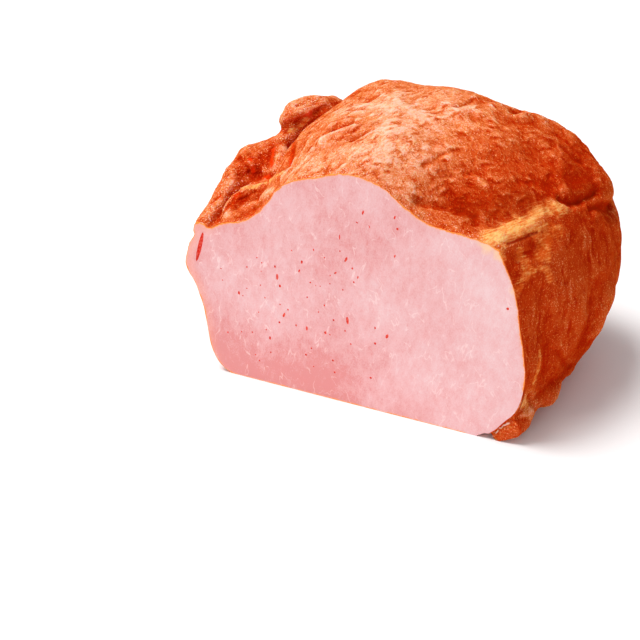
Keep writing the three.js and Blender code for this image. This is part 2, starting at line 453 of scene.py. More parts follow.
def cut_meat():
    """The fine pink meat of the cut, with pale veins, a thin orange rim and painted shadow at its bottom
    left.
    """
    meat = Surface("cut_meat")
    across, _, up = meat.sides()
    rim = meat.value("rim")
    clouds = meat.noise((34, 34, 34), detail=1)
    mottle = meat.noise((4, 4, 6), detail=3, roughness=0.6)
    streaks = meat.noise((1.6, 1.6, 7), turn=(0, 14, 0), detail=3, roughness=0.65, distortion=1.2)
    grain = meat.noise((0.6, 0.6, 0.8), detail=1, roughness=0.6)
    upright = meat.noise((9, 9, 26), turn=(0, 12, 0), detail=3, roughness=0.55, distortion=0.15)
    slanting = meat.noise((9, 9, 24), turn=(0, -32, 0), detail=3, roughness=0.55, distortion=0.15)
    broken = meat.noise((8, 8, 12), detail=2)
    upright_veins = meat.rise(abs(upright - 0.5), 0.012, 0.0) * meat.rise(broken, 0.5, 0.6)
    slanting_veins = meat.rise(abs(slanting - 0.5), 0.012, 0.0) * meat.rise(broken, 0.46, 0.38)
    pale = meat.shades(
        0.42
        + meat.rise(across, -0.03, 0.06) * 0.17
        # painted shadow, darker towards the bottom left of the cut
        - meat.rise(up, 0.045, 0.0) * meat.rise(across, 0.05, -0.05) * 0.35
        + (clouds - 0.5) * 0.6
        + (mottle - 0.5) * 0.7
        + (streaks - 0.5) * 0.35
        + (grain - 0.5) * 0.5,
        [(0.1, linear(226, 146, 144)), (0.5, linear(236, 181, 182)), (0.9, linear(241, 205, 206))],
    )
    colour = meat.mixed((upright_veins + slanting_veins) * 0.55, pale, linear(252, 222, 220))
    peach = meat.rise(rim, 7, 0) * meat.rise(across, -0.07, -0.087) * 0.4
    colour = meat.mixed(peach, colour, linear(253, 168, 138))
    fatty = meat.rise(meat.value("fat") + (mottle - 0.5), 0.3, 0.8)
    colour = meat.mixed(fatty * 0.8, colour, linear(250, 205, 160))
    edge = rim + (mottle - 0.5) * 1.6 + (grain - 0.5) * 0.6
    colour = meat.mixed(meat.rise(edge, 1.2, 0.3) * 0.4, colour, linear(253, 178, 136))
    colour = meat.mixed(meat.rise(edge, 0.45, 0.1), colour, linear(252, 142, 54))
    bump = meat.node(
        "ShaderNodeBump",
        out="Normal",
        Height=(mottle - 0.5) * 0.6 + (streaks - 0.5) * 0.8 + (grain - 0.5) * 0.3,
        Strength=0.3,
        Distance=0.35 * MM,
    )
    return meat.finish(
        Base_Color=colour,
        Roughness=0.55 + (mottle - 0.5) * 0.25,
        Normal=bump,
        Specular_IOR_Level=0.2,
        Subsurface_Weight=0.15,
        Subsurface_Radius=(1.0, 0.4, 0.35),
        Subsurface_Scale=1.5 * MM,
    )


def raw_hollow():
    """The wet red lining of pores and of the slit."""
    lining = Surface("raw_hollow")
    mottle = lining.noise((1.2, 1.2, 1.2), detail=2)
    colour = lining.shades(
        mottle, [(0.3, linear(226, 46, 30)), (0.5, linear(238, 74, 56)), (0.7, linear(246, 120, 104))]
    )
    return lining.finish(
        Base_Color=colour,
        Roughness=0.4,
        Specular_IOR_Level=0.2,
        Subsurface_Weight=0.4,
        Subsurface_Scale=1.5 * MM,
    )


def pale_floor():
    board = Surface("pale_floor")
    return board.finish(Base_Color=linear(252, 252, 252), Roughness=0.8, Specular_IOR_Level=0.1)


rind_material = smoked_rind()
meat_material = cut_meat()
hollow_material = raw_hollow()

# The loaf, from a copy of the solid: its cut and underside are drawn out past where they are cut again

VOXEL = 1.0 * MM
SMOOTHINGS = 9
FLAT = 0.99  # how squarely a face has to look at the knife or the board
PAST_CUT = 8 * MM
PAST_BOARD = 6 * MM
SAME_POINT = 0.001 * MM

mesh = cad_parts["pork_loaf"].data.copy()
loaf = bpy.data.objects.new("pork_loaf_meat", mesh)
bpy.context.scene.collection.objects.link(loaf)
mesh.materials.clear()
mesh.materials.append(rind_material)

work_on(loaf)
bpy.ops.object.mode_set(mode="EDIT")
bpy.ops.mesh.select_all(action="SELECT")
bpy.ops.mesh.remove_doubles(threshold=SAME_POINT)
bpy.ops.object.mode_set(mode="OBJECT")
extrude_faces(
    loaf, lambda centre, normal: normal.y < -FLAT and centre.y < cad_low.y + MM, (0, -PAST_CUT, 0)
)
extrude_faces(loaf, lambda centre, normal: normal.z < -FLAT and centre.z < MM, (0, 0, -PAST_BOARD))
finish_with(loaf, "REMESH", mode="VOXEL", voxel_size=VOXEL)
finish_with(loaf, "SMOOTH", factor=0.5, iterations=SMOOTHINGS)

# Relief of the rind: swells and wrinkles everywhere, in directions of their own on the top and the sides

spots = places_of(loaf)
facing = normals_of(loaf)
upward = ramp(facing[:, 2], 0.2, 0.6)
rightward = ramp(facing[:, 0], 0.35, 0.75)
dome_left_share = upward * fall(spots[:, 0], -5, 35)
dome_right_share = upward * ramp(spots[:, 0], -5, 35)
side_share = (1 - upward) * rightward
behind_or_low = np.maximum(ramp(spots[:, 1], 85, 105), fall(spots[:, 2], 56, 72))
flank_share = (1 - upward) * (1 - rightward) * behind_or_low
folds_share = (1 - upward) * (1 - rightward) * (1 - behind_or_low)
away_from_cut = paint_mask(loaf, "away from the cut", ramp(spots[:, 1], 12, 35))
dome_left = paint_mask(loaf, "dome left", dome_left_share)
dome_right = paint_mask(loaf, "dome right", dome_right_share)
right_side = paint_mask(loaf, "right side", side_share)
flank = paint_mask(loaf, "back and left flank", flank_share)
shoulder_folds = paint_mask(loaf, "shoulder folds", folds_share)

roughen(loaf, "swells", 0.9, (16, 16, 16), mask=away_from_cut)
roughen(loaf, "left puckers", 0.3, (10, 5, 5), ALONG_LEFT, dome_left, depth=2)
roughen(loaf, "right puckers", 0.45, (8, 5, 5), ALONG_RIGHT, dome_right, depth=2)
roughen(loaf, "side sags", 0.3, (6, 6, 18), mask=right_side, depth=2)
roughen(loaf, "flank sags", 0.35, (7, 7, 18), mask=flank, depth=2)
roughen(loaf, "fold puckers", 0.5, (7, 7, 7), mask=shoulder_folds, depth=2)
roughen(loaf, "left wrinkles", 0.25, (7, 2.6, 2.6), ALONG_LEFT, dome_left, creased=True)
roughen(loaf, "right wrinkles", 0.25, (5.5, 2.6, 2.6), ALONG_RIGHT, dome_right, creased=True)
roughen(loaf, "side fibres", 0.2, (2.6, 2.6, 12), mask=right_side, creased=True)
roughen(loaf, "flank fibres", 0.2, (2.8, 2.8, 12), mask=flank, creased=True)
roughen(loaf, "fold wrinkles", 0.4, (3.4, 3.4, 3.4), mask=shoulder_folds, creased=True)

# Lines that both the relief and the colours follow
SEAM_CREVICE = [(76, 44, 101), (80, 47, 99), (82, 55, 97), (84, 63, 96), (85, 70, 95)]
TOP_RIDGE_SHADOW = [(-26, 29, 120), (-23, 31, 121), (-16, 34, 123)]
FATTY_FLAKE = [(42, 28, 110), (47, 27, 108)]
BACK_PIT = [(41, 80, 122), (43, 84, 121)]
CUT_HOLLOW = [(24, 7, 105), (29, 10, 104), (34, 12, 103), (40, 13, 102)]
LIP_DIMPLE = [(-59, 61, 117), (-57, 64, 118)]
STRAND = [(-76, 4, 79), (-76, 9, 81), (-75, 15, 84), (-74, 20, 89), (-74, 25, 92)]
STRAND_LEFT_GROOVE = [(-81, 5, 79), (-80, 9, 82), (-78, 13, 83), (-76, 16, 85)]
STRAND_RIGHT_GROOVE = [(-71, 4, 79), (-69, 5, 83), (-67, 9, 87), (-66, 14, 89)]
SHELF_GROOVE = [(-64, 11, 87), (-61, 14, 88), (-59, 16, 90)]
SHELF_EDGE = [(-66, 4, 81), (-62, 9, 83), (-58, 13, 86), (-49, 9, 93), (-43, 5, 97)]

# Named marks of the rind: height in mm, width in mm, and the places along each
STROKES = [
    # The top lies a little lower, and its edge over the cut a little higher
    (-2.1, 22, [(-34, 60, 126), (-10, 64, 129), (14, 66, 130)]),
    (0.9, 9.0, [(-42, 0, 100), (-25, 0, 109), (-8, 0, 113), (6, 0, 111)]),
    # The right side stands out more at the shoulder and above the heel, and less between them
    (1.6, 14, [(44, 84, 121), (60, 88, 114)]),
    (2.0, 7, [(85, 84, 95), (87, 90, 87)]),
    (-1.5, 7, [(93, 80, 77), (96, 75, 67)]),
    (3.0, 9, [(96, 62, 48), (94, 57, 36)]),
    (1.5, 4, [(84, 26, 10), (86, 28, 14)]),
    # The fat seam along the right shoulder and the crease under it
    (0.9, 3.8, [
        (57, 6, 96), (61, 10, 97), (64, 15, 98), (68, 20, 98), (71, 27, 98), (74, 34, 98), (77, 40, 98),
    ]),
    (-0.6, 1.0, [(61, 1, 94), (64, 6, 95), (69, 13, 95), (70, 17, 95), (72, 20, 95)]),
    # The dark crevice behind it, and its second branch
    (-3.2, 2.6, SEAM_CREVICE),
    (-2.4, 2.2, [(86, 59, 92), (87, 69, 89), (89, 80, 85), (87, 93, 79)]),
    (-0.3, 1.6, [(86, 61, 91), (87, 55, 89), (88, 53, 84), (90, 50, 76)]),
    # The tongue on top and the shadow under its lip
    (0.4, 3.6, [(15, 67, 130), (17, 75, 129), (20, 79, 128)]),
    (-1.3, 1.0, [(10, 62, 129), (14, 60, 129), (17, 62, 130), (20, 64, 129), (22, 70, 129), (23, 77, 128)]),
    # Ridges on the dome's left
    (1.1, 1.7, [(-27, 33, 121), (-24, 35, 122), (-17, 38, 124)]),
    (-1.0, 1.5, TOP_RIDGE_SHADOW),
    (0.4, 2.0, [(-47, 34, 110), (-35, 30, 117), (-27, 33, 121)]),
    (1.0, 1.8, [(-27, 22, 118), (-25, 25, 120), (-20, 29, 122), (-16, 32, 123)]),
    (1.0, 1.8, [(-26, 52, 125), (-21, 54, 126)]),
    (-1.0, 1.6, [(-26, 49, 125), (-20, 50, 126)]),
    (-1.2, 2.0, [(-24, 61, 127), (-22, 67, 127)]),
    (-1.0, 1.4, [(-14, 23, 120), (-11, 27, 122), (-8, 31, 123)]),
    (1.2, 2.0, [(-39, 13, 105), (-40, 10, 103)]),
    # Creases and flakes on the dome's right
    (-1.0, 1.5, [(27, 62, 128), (30, 58, 126)]),
    (-1.1, 1.5, [(26, 30, 119), (25, 27, 118), (24, 24, 117), (21, 21, 116)]),
    (-1.0, 1.5, [(26, 30, 119), (31, 36, 119)]),
    (1.2, 1.7, FATTY_FLAKE),
    (-1.2, 1.6, [(40, 24, 109), (46, 23, 107)]),
    (-0.9, 1.4, [(37, 28, 112), (41, 30, 113)]),
    (-2.0, 2.4, BACK_PIT),
    (1.1, 2.4, [(45, 76, 122), (46, 82, 120)]),
    (-1.0, 2.0, [(56, 86, 117), (58, 88, 116)]),
    (-0.6, 1.6, [(62, 74, 116), (64, 68, 115)]),
    (-0.7, 2.0, [(67, 72, 112), (71, 72, 110), (76, 76, 105)]),
    (0.7, 2.6, [(55, 48, 114), (58, 47, 113), (62, 50, 112), (66, 54, 110), (70, 56, 108), (75, 50, 104)]),
    (-1.1, 4.0, [(60, 38, 110), (66, 42, 107), (72, 46, 103)]),
    (1.1, 1.6, [(43, 19, 103), (48, 17, 102), (51, 13, 100)]),
    (-1.2, 1.6, [(42, 15, 102), (47, 13, 100), (49, 9, 99)]),
    # The hollow over the cut's right half and the curled rind in front of it
    (-2.0, 2.4, CUT_HOLLOW),
    (0.9, 1.6, [(23, 1, 103), (28, 3, 102), (33, 4, 101), (38, 4, 100)]),
    # Dimple and dark underside of the curled lip, pleats and hollow of the shoulder fold
    (-1.2, 1.3, LIP_DIMPLE),
    (-0.5, 1.3, [(-61, 53, 110), (-57, 57, 110), (-53, 61, 111), (-50, 66, 113), (-48, 70, 115)]),
    (-1.0, 1.3, [
        (-50, 66, 113), (-47, 51, 114), (-48, 42, 111), (-48, 35, 109), (-43, 23, 107), (-41, 15, 104),
    ]),
    (-1.3, 1.8, [(-68, 29, 93), (-64, 30, 91), (-58, 28, 93), (-51, 24, 98)]),
    (-0.8, 1.2, [(-75, 33, 97), (-70, 30, 96), (-66, 30, 91)]),
    (-0.8, 1.2, [(-72, 36, 99), (-67, 33, 97), (-65, 32, 92)]),
    (-0.8, 1.2, [(-66, 37, 99), (-63, 33, 96), (-64, 32, 91)]),
    (-0.9, 1.2, [(-63, 44, 100), (-62, 38, 97), (-60, 29, 94)]),
    (1.0, 2.4, [(-56, 36, 100)]),
    # The strand along the shoulder, the grooves on both its sides, and crumbs of fat above the rind's flake
    (0.9, 2.0, STRAND),
    (-1.0, 1.0, STRAND_LEFT_GROOVE),
    (-1.2, 1.2, STRAND_RIGHT_GROOVE),
    (-1.2, 1.2, SHELF_GROOVE),
    (1.0, 1.3, [(-57, 20, 93)]),
    (1.0, 1.3, [(-53, 21, 95)]),
    (0.9, 1.2, [(-48, 16, 99)]),
    (0.9, 1.4, [(-65, 15, 90), (-62, 19, 91)]),
    (1.0, 1.1, [(-44, 16, 102)]),
    (1.2, 3.0, SHELF_EDGE),
    # Folds of the heel under the right side
    (-1.4, 1.8, [(80, 14, 12), (80, 12, 16), (78, 9, 22)]),
    (-1.2, 2.2, [(88, 46, 17), (88, 36, 24), (86, 23, 38)]),
]

on_dome_left = dome_left_share * ramp(spots[:, 0], -52, -42)

# Small flakes all over the rind: each lies over the next like a scale, its lower edge a low step, with a
# painted highlight along it and painted shadow in the groove under it. Their number and share of the
# surface, the way they run, how far they turn from it in degrees, their lengths and heights in mm
FLAKES = [
    (260, on_dome_left, (0.47, 0.88, 0), 18, (3, 9), (0.12, 0.38)),
    (120, dome_right_share, (0.86, -0.46, -0.2), 20, (3, 8), (0.12, 0.35)),
    (120, dome_right_share, (0.75, 0.66, 0), 25, (3, 9), (0.12, 0.35)),
    (50, side_share, (0, 0.1, 1), 12, (6, 14), (0.05, 0.2)),
    (40, folds_share, (0.2, 0.2, 1), 40, (4, 10), (0.12, 0.35)),
    (110, flank_share, (0.1, 0.1, 1), 15, (6, 14), (0.05, 0.22)),
]
# Sizes of one flake, in mm
EDGE = 0.8  # how wide its step is
SHADOW_BELOW = 1.3  # from its edge to the groove under it
LIGHT_ABOVE = 0.2  # from its edge back to the painted highlight on it
SLOPE_LENGTHS = (1.5, 3.5)  # how far it reaches back
MOST_BEND = 1.0  # of its ends against its middle
REACH = 4  # beyond its ends

chance = random.Random(7)
flakes = np.zeros(len(spots))
flake_highlights_and_shadows = np.zeros(len(spots))
for count, share, way, spread, (shortest, longest), (lowest, highest) in FLAKES:
    for middle in chance.choices(range(len(spots)), weights=share.tolist(), k=count):
        normal = Vector(facing[middle])
        along = Vector(way) - normal * normal.dot(Vector(way))
        along.normalize()
        along.rotate(Quaternion(normal, math.radians(chance.uniform(-spread, spread))))
        lower = normal.cross(along)
        if lower.z > 0:
            lower = -lower
        half = chance.uniform(shortest, longest) / 2
        bend = chance.uniform(-MOST_BEND, MOST_BEND)
        height = chance.uniform(lowest, highest)
        slope = chance.uniform(*SLOPE_LENGTHS)
        near = np.flatnonzero(np.abs(spots - spots[middle]).max(axis=1) < longest / 2 + REACH)
        offset = spots[near] - spots[middle]
        lengthways = offset @ np.array(along) / half
        downwards = offset @ np.array(lower) + bend * lengthways**2
        taper = np.clip(1 - lengthways**2, 0, 1)
        scale = np.where(downwards < 0, np.exp(downwards / slope), np.exp(-((downwards / EDGE) ** 2)))
        groove = np.exp(-(((downwards - SHADOW_BELOW) / EDGE) ** 2))
        flakes[near] += height * taper * (scale - 0.5 * groove)
        # Its painted highlight along the edge and painted shadow in the groove under it
        lit_edge = np.exp(-(((downwards + LIGHT_ABOVE) / EDGE) ** 2))
        flake_highlights_and_shadows[near] += height / highest * taper * (0.5 * lit_edge - groove)
heights = flakes + sum(height * nearness(spots, line, width) for height, width, line in STROKES)
moved = places_of(loaf) + normals_of(loaf) * heights[:, None]
move_to(loaf, moved)
loaf.vertex_groups.clear()
flaked = kdtree.KDTree(len(moved))
for index, spot in enumerate(moved):
    flaked.insert(spot, index)
flaked.balance()

# The knife's cut, almost flat

IN_FRONT = 30 * MM  # how far a cutting block reaches to the front


def grid_across_cut(low, high, cell):
    """An upright grid in the plane of the cut between two corners, its cells about cell millimetres wide."""
    width, height = high[0] - low[0], high[1] - low[1]
    bpy.ops.mesh.primitive_grid_add(
        x_subdivisions=round(width / cell),
        y_subdivisions=round(height / cell),
        size=MM,
        location=place((low[0] + high[0]) / 2, 0, (low[1] + high[1]) / 2),
        rotation=(math.pi / 2, 0, 0),
    )
    grid = bpy.context.object
    grid.scale = (width, height, 1)
    bpy.ops.object.transform_apply(location=True, rotation=True, scale=True)
    return grid


def cut_in_front_of(grid):
    """Cuts away what the loaf has in front of the grid."""
    extrude_faces(grid, lambda centre, normal: True, (0, -IN_FRONT, 0))
    face_outwards(grid)
    cut_away(loaf, grid)


KNIFE_CELL = 2.4
KNIFE_LOW, KNIFE_HIGH = (-105, -15), (105, 145)
knife = grid_across_cut(KNIFE_LOW, KNIFE_HIGH, KNIFE_CELL)
knife.data.materials.append(meat_material)
roughen(knife, "knife waves", 0.08, (30, 30, 9), turn=(0, 12, 0))
cut_in_front_of(knife)

# The heel roll's end isn't cut: it is rounded and parts from the meat along a gap round the cut's corner,
# which runs through these places across and up
CORNER = [
    (77.9, 30), (77.7, 27.4), (77.3, 24.4), (76.4, 20.5), (75.1, 17.1), (73.4, 14.4), (71.6, 12.3),
    (69.3, 9.1), (67.4, 6.3), (64.5, 3.2), (60.5, 0.8), (57, -1.5),
]
NOSE_WIDTH = 5.5  # half of the rounded end's width
LEAST_DEPTH = 0.35  # how far the end lies behind the cut
GAP_DEPTH = 2.5  # how much deeper the gap is
GAP_TOP = (16, 26)  # heights between which the gap runs out
EDGE_STEEPNESS = 1.5  # mm deeper for each mm beyond the corner
CLEAR_OF_CUT = -1  # in front of the cut, where nothing is taken off
PATCH_CELL = 0.6
PATCH_LOW, PATCH_HIGH = (53, -6), (92, 30)


def beyond_corner(across, up):
    """How far a place lies outside the line along the corner, in mm, negative inside."""
    place_in_cut = np.stack([across, up], axis=1)
    nearest = np.full(len(place_in_cut), np.inf)
    signed = nearest.copy()
    for start, end in zip(np.array(CORNER), np.array(CORNER[1:])):
        way = end - start
        share = np.clip((place_in_cut - start) @ way / (way @ way), 0, 1)
        offset = place_in_cut - start - share[:, None] * way
        distance = np.linalg.norm(offset, axis=1)
        outside = way[0] * offset[:, 1] - way[1] * offset[:, 0] > 0
        closer = distance < nearest
        nearest[closer] = distance[closer]
        signed[closer] = np.where(outside, distance, -distance)[closer]
    return signed


scoop = grid_across_cut(PATCH_LOW, PATCH_HIGH, PATCH_CELL)
scoop.data.materials.append(rind_material)
scoop_spots = places_of(scoop)
beyond = beyond_corner(scoop_spots[:, 0], scoop_spots[:, 2])
bulge = np.sqrt(np.clip(1 - (beyond / NOSE_WIDTH - 1) ** 2, 0, 1))
sunk = LEAST_DEPTH + GAP_DEPTH * (1 - bulge) * fall(scoop_spots[:, 2], *GAP_TOP)
scoop_spots[:, 1] = np.minimum(sunk, np.maximum(beyond * EDGE_STEEPNESS, CLEAR_OF_CUT))
move_to(scoop, scoop_spots)
cut_in_front_of(scoop)

# The flat underside
BOARD_SIZE = 400 * MM
bpy.ops.mesh.primitive_cube_add(size=BOARD_SIZE, location=(0, 0, -BOARD_SIZE / 2))
board = bpy.context.object
board.data.materials.append(rind_material)
cut_away(loaf, board)

# Pores in the cut, and the red slit by its left edge: across, up, radius in mm, how many times taller
# than wide, and the lean in degrees
PORES = [
    (-39.6, 58.3, 0.65, 2.4, 0), (-38.3, 53.9, 0.59, 1.3, 0), (-59.6, 45.4, 0.61, 1.6, 0),
    (-57.6, 44.4, 0.33, 1.2, 0), (-55, 59.9, 0.43, 1, 0), (-49.7, 65.8, 0.38, 1, 0),
    (-47.3, 63.8, 0.33, 1.2, 0), (-68.6, 56.1, 0.38, 1, 0), (-68.1, 50.2, 0.33, 1, 0),
    (-40.6, 63.3, 0.49, 1.3, 0), (-47.8, 59.3, 0.29, 1, 0), (-48.2, 52.1, 0.36, 1, 0),
    (-55.4, 48.7, 0.33, 1, 0), (-27.2, 68.5, 0.55, 1.6, 10), (-28.5, 63.8, 0.43, 2, 20),
    (-32.2, 73.2, 0.33, 1.2, 0), (-21.4, 75.8, 0.36, 1.6, 0), (-8.9, 84.6, 0.29, 4.5, 0),
    (-8.7, 77.9, 0.33, 1.4, 0), (-5.8, 74.4, 0.55, 2.6, 25), (-2.7, 70.7, 0.45, 1.2, 0),
    (-10.8, 66.7, 0.39, 2, 45), (-13.3, 64.9, 0.33, 1, 0), (-1.9, 64.1, 0.43, 1.1, 0),
    (0, 66.9, 0.39, 1.8, 10), (-7.1, 59.1, 0.38, 1, 0), (-23, 59.2, 0.45, 1, 0),
    (-20.3, 58.2, 0.29, 1, 0), (-18.2, 58.4, 0.33, 1, 0), (-13.4, 60.7, 0.33, 1, 0),
    (-16.1, 73.1, 0.39, 1, 0), (-24.6, 51.3, 0.41, 1, 0), (-46.1, 46, 0.36, 1, 0),
    (-38.4, 44.3, 0.36, 1, 0), (-34.4, 42.5, 0.41, 1.3, 0), (-36.5, 39.1, 0.61, 2.2, 22),
    (-38.9, 34.7, 0.54, 1, 0), (-49.6, 37.5, 0.36, 1, 0), (-16.1, 49.1, 0.45, 1.1, 0),
    (-18.9, 45, 0.36, 1, 0), (-11.5, 42.6, 0.49, 1, 0), (-4.7, 44, 0.69, 2.9, -6),
    (-24.9, 34.9, 0.53, 2.2, 0), (-30.3, 35.2, 0.45, 1.3, 0), (-15.6, 35, 0.59, 1.3, 0),
    (-13.3, 34.5, 0.36, 1, 0), (-43.9, 25.1, 0.54, 1.7, 0), (-45.8, 29.1, 0.36, 1, 0),
    (-53.2, 25.9, 0.41, 1, 0), (-58.9, 24.7, 0.36, 1, 0), (-66.4, 22.5, 0.39, 1.5, 0),
    (-22.6, 24.9, 0.45, 1, 0), (-25.4, 20.7, 0.54, 1, 0), (-43.7, 17.3, 0.41, 1, 0),
    (-51.8, 13.9, 0.39, 1, 0), (-49.9, 11.1, 0.41, 1, 0), (-21.5, 15.3, 0.36, 1, 0),
    (-10.8, 15, 0.55, 1, 0), (-11.7, 21.2, 0.54, 1, 0), (7.2, 16.8, 0.65, 0.8, 0),
    (8.9, 35.5, 0.59, 1, 0), (-2.9, 32.2, 0.45, 1, 0), (14.5, 40.6, 0.69, 1.7, 20),
    (8.7, 43.5, 0.39, 1.8, 0), (-5.8, 38.4, 0.39, 1.3, 0), (1.8, 98.4, 0.49, 2.2, 15),
    (17.7, 93.9, 0.55, 1.2, 0), (16.3, 99, 0.45, 2, 15), (16.9, 81, 0.39, 2, 15),
    (-0.9, 93.2, 0.33, 1.8, -60), (4.9, 92.4, 0.26, 3, -25), (68, 67.4, 0.65, 1, 0),
]
SLIT = (-79.4, 65.0, 1.1, 7.6, 15.5)
# Depths against the radius
PORE_DEPTH = 0.7
SLIT_DEPTH = 1.3

pits = []
hollows = [(*pore, PORE_DEPTH) for pore in PORES] + [(*SLIT, SLIT_DEPTH)]
for across, up, radius, tallness, lean, depth in hollows:
    bpy.ops.mesh.primitive_uv_sphere_add(
        segments=10,
        ring_count=6,
        radius=radius * MM,
        location=place(across, 0, up),
        rotation=(0, math.radians(lean), 0),
        scale=(1, depth, tallness),
    )
    pits.append(bpy.context.object)
work_on(pits[0])
for pit in pits:
    pit.select_set(True)
bpy.ops.object.join()
pits[0].data.materials.append(hollow_material)
cut_away(loaf, pits[0])

# Marks that the materials read: hollows, for painted shade in them and painted light on raised places;
# flakes, for their painted highlights and shadows; the distance from the cut's rim; and coloured places,
# some of them painted

HOLLOW_ROUNDS = 14  # of smoothing, against which a place is hollow or raised
MOST_HOLLOW = 0.8

spots = places_of(loaf)
edges = np.empty(len(loaf.data.edges) * 2, np.int64)
loaf.data.edges.foreach_get("vertices", edges)
edges = edges.reshape(-1, 2)
neighbours = np.bincount(edges.ravel(), minlength=len(spots))
smooth = spots.copy()
for _ in range(HOLLOW_ROUNDS):
    total = np.zeros_like(smooth)
    np.add.at(total, edges[:, 0], smooth[edges[:, 1]])
    np.add.at(total, edges[:, 1], smooth[edges[:, 0]])
    smooth = total / np.maximum(neighbours, 1)[:, None]
hollow = ((smooth - spots) * normals_of(loaf)).sum(axis=1)
# How hollow or raised each place is, for painted shade in hollows and painted light on raised places
mark(loaf, "hollow", np.clip(hollow, -MOST_HOLLOW, MOST_HOLLOW) * ramp(spots[:, 1], 0.5, 4))
mark(loaf, "flake", [flake_highlights_and_shadows[flaked.find(spot)[1]] for spot in spots])

slots = [slot.material.name for slot in loaf.material_slots]
on_meat = np.zeros(len(spots), bool)
on_rind = np.zeros(len(spots), bool)
for face in loaf.data.polygons:
    kind = slots[face.material_index]
    for index in face.vertices:
        if kind == meat_material.name:
            on_meat[index] = True
        elif kind == rind_material.name:
            on_rind[index] = True
rim_places = kdtree.KDTree(int((on_meat & on_rind).sum()))
for index in np.flatnonzero(on_meat & on_rind):
    rim_places.insert(spots[index], index)
rim_places.balance()
RIM_REACH = 30
rim = np.array([min(rim_places.find(spot)[2], RIM_REACH) for spot in spots])
# The heel's end has no orange rim, so it counts as further from it
NO_RIM = 3
by_heel = ramp(beyond_corner(spots[:, 0], spots[:, 2]), -3, -1) * fall(spots[:, 2], 24, 30)
mark(loaf, "rim", rim + by_heel * fall(spots[:, 1], 5, 8) * NO_RIM)

# Coloured places, and places of painted shade and painted highlights: how wide in mm, and the places along
# each
FAT = [
    (6.4, [(57, 4, 95), (61, 9, 96.5), (65, 14, 97.5), (69, 20, 98)]),
    (5.0, [(69, 20, 98), (70, 27, 100), (73, 34, 100), (77, 40, 99)]),
    (3.4, [(55, 5, 97.5), (59, 10, 99.5), (63, 16, 101)]),
    (2.4, [(62, 0, 92), (67, 0, 88), (70, 0, 82)]),
    (4.2, [(75, 26, 94), (79, 30, 92), (76, 25, 92), (76, 21, 88)]),
    (2.8, [(75, 18, 87), (75, 16, 85), (78, 19, 85)]),
    (2.8, [(68, 10, 90), (68, 9, 87), (71, 10, 85)]),
    (3.2, [(70, 2, 76), (72, 5, 79), (72, 8, 82), (74, 11, 82)]),
    (2.6, [(77, 15, 82), (79, 17, 79), (80, 17, 76)]),
    (1.6, [(81, 11, 44), (81, 12, 38)]),
    (2.6, [(81, 11, 37), (80, 9, 30)]),
    (3.2, [(80, 7, 23), (79, 4, 19), (78, 9, 17)]),
    (1.5, [(-66, 16, 90), (-59, 18, 92), (-57, 22, 93), (-50, 18, 97), (-44, 16, 102)]),
    (1.8, [(-59, 54, 106), (-57, 56, 107), (-55, 60, 108), (-54, 61, 110)]),
    (1.4, FATTY_FLAKE),
]
# Painted shade in creases, crevices, grooves and under lips and ridges
CREASE_SHADE = [
    (0.9, [(64, 6, 94), (69, 13, 94.5), (70, 17, 94.5), (72, 20, 94.5)]),
    (2.2, SEAM_CREVICE),
    (1.5, [(86, 59, 92), (87, 69, 89), (89, 80, 85)]),
    (0.6, [(10, 61, 129), (14, 60, 129), (17, 62, 130), (20, 64, 129), (22, 70, 129), (23, 77, 128)]),
    (0.7, TOP_RIDGE_SHADOW),
    (2.4, [(-61, 52, 111), (-57, 56, 111), (-53, 60, 112), (-49, 66, 115), (-47, 71, 117)]),
    (1.6, [(-62, 43, 100), (-60, 38, 98), (-58, 32, 97)]),
    (1.4, [(-70, 34, 97), (-67, 31, 93)]),
    (1.3, LIP_DIMPLE),
    (0.8, [(-50, 66, 113), (-47, 51, 114), (-48, 42, 111), (-48, 34, 108), (-44, 24, 106), (-41, 16, 104)]),
    (0.7, STRAND_LEFT_GROOVE),
    (1.0, STRAND_RIGHT_GROOVE),
    (0.8, SHELF_GROOVE),
    (1.4, CUT_HOLLOW),
    (1.8, [(-67, 30, 92), (-64, 30, 91), (-58, 28, 93), (-51, 24, 98)]),
    (1.3, BACK_PIT),
    (1.3, [(78, 1, 28), (77.6, 2, 24), (75.6, 2.5, 17), (72.2, 2.5, 12), (67.8, 2.5, 5.7)]),
]
# Painted shade in the hollow over the cut's right half
SHADE_OVER_CUT = [
    (8, [(44, 14, 102), (53, 18, 101), (62, 30, 105)]),
]
# Pale gristle, and painted highlights on the heel's end and on the folds of the left shoulder
GRISTLE_AND_HIGHLIGHTS = [
    (1.2, [(79.5, 1, 25), (78, 3, 20), (77.5, 4, 16)]),
    (0.5, [(67.4, 1, 3.6), (68.6, 1, 6.2), (70.4, 1, 8.4), (72.8, 1, 10.4)]),
    (1.2, [(-80, 0, 75), (-78, 0, 77)]),
    (1.0, [(-72, 0, 78)]),
    (0.7, [(-57, 56, 107)]),
    (0.8, [(-48, 10, 96)]),
    (0.7, [(-50, 17, 98)]),
]
# Painted glints where the rind is wet: on the folds of the left shoulder and along the cut's rim
PAINTED_GLINTS = [
    (7, [(-76, 8, 82), (-70, 22, 91), (-62, 38, 99), (-55, 54, 107)]),
    (5, [(-56, 36, 100), (-54, 32, 99)]),
    (6, [(-60, 56, 116), (-54, 68, 118)]),
    (3, [(-59, 54, 106), (-57, 56, 107)]),
    (3, [(-58, 2, 84), (-45, 2, 92), (-25, 2, 109), (-6, 2, 114), (22, 2, 104), (46, 2, 99), (62, 2, 93)]),
]
